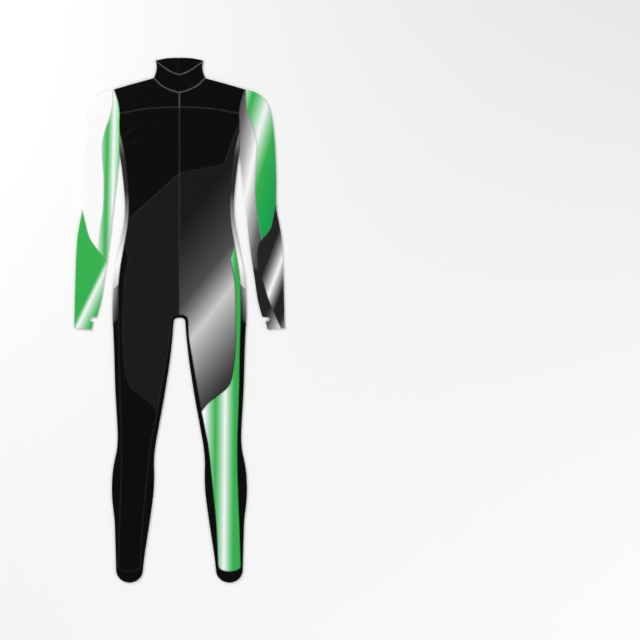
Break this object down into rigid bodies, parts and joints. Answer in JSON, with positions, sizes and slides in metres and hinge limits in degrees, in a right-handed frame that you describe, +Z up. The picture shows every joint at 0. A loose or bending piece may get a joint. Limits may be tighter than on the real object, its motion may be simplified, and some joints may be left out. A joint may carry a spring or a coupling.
{
  "type": "luge suit",
  "caption": "Close-fitting one-piece racing suit of coated stretch cloth, laid flat, with a stand collar, back zip, thumb notches in the hand covers and closed foot ends.",
  "frame": {"origin": "on the surface that the suit lies on, below the middle of its length and width", "axes": "+Y from the feet to the collar, +Z up out of the front, +X towards the wearer's left side"},
  "size_m": [0.6424, 1.6015, 0.005],
  "materials": {
    "black_cloth": "coated stretch knit, satin",
    "charcoal_cloth": "coated stretch knit, satin",
    "silver_cloth": "coated stretch knit with a printed fade from black to white",
    "white_cloth": "coated stretch knit, satin",
    "green_cloth": "coated stretch knit with a printed fade from green to white",
    "zip_tape": "woven tape and moulded teeth, matte",
    "zip_metal": "satin"
  },
  "bodies": {
    "root": {"collar": "black_cloth", "yoke_right": "black_cloth", "yoke_left": "black_cloth", "chest_right": "black_cloth", "chest_left": "black_cloth", "front_lower_right": "charcoal_cloth", "front_lower_left": "silver_cloth", "front_leg_right": "black_cloth", "front_leg_left": "green_cloth", "side_panel_right": "silver_cloth", "side_panel_left": "silver_cloth", "hip_tab_right": "silver_cloth", "hip_tab_left": "silver_cloth", "back_right": "black_cloth", "back_left": "black_cloth", "foot_cap_right": "black_cloth", "foot_cap_left": "black_cloth", "sleeve_right_outer": "white_cloth", "sleeve_right_inner": "green_cloth", "sleeve_right_forearm": "green_cloth", "sleeve_left_outer": "green_cloth", "sleeve_left_inner": "silver_cloth", "sleeve_left_forearm_outer": "silver_cloth", "sleeve_left_forearm_inner": "black_cloth", "zip_tape_right": "zip_tape", "zip_tape_left": "zip_tape", "zip_chain": "zip_tape", "zip_stop": "zip_metal", "zip_slider": "zip_metal"}
  },
  "joints": []
}
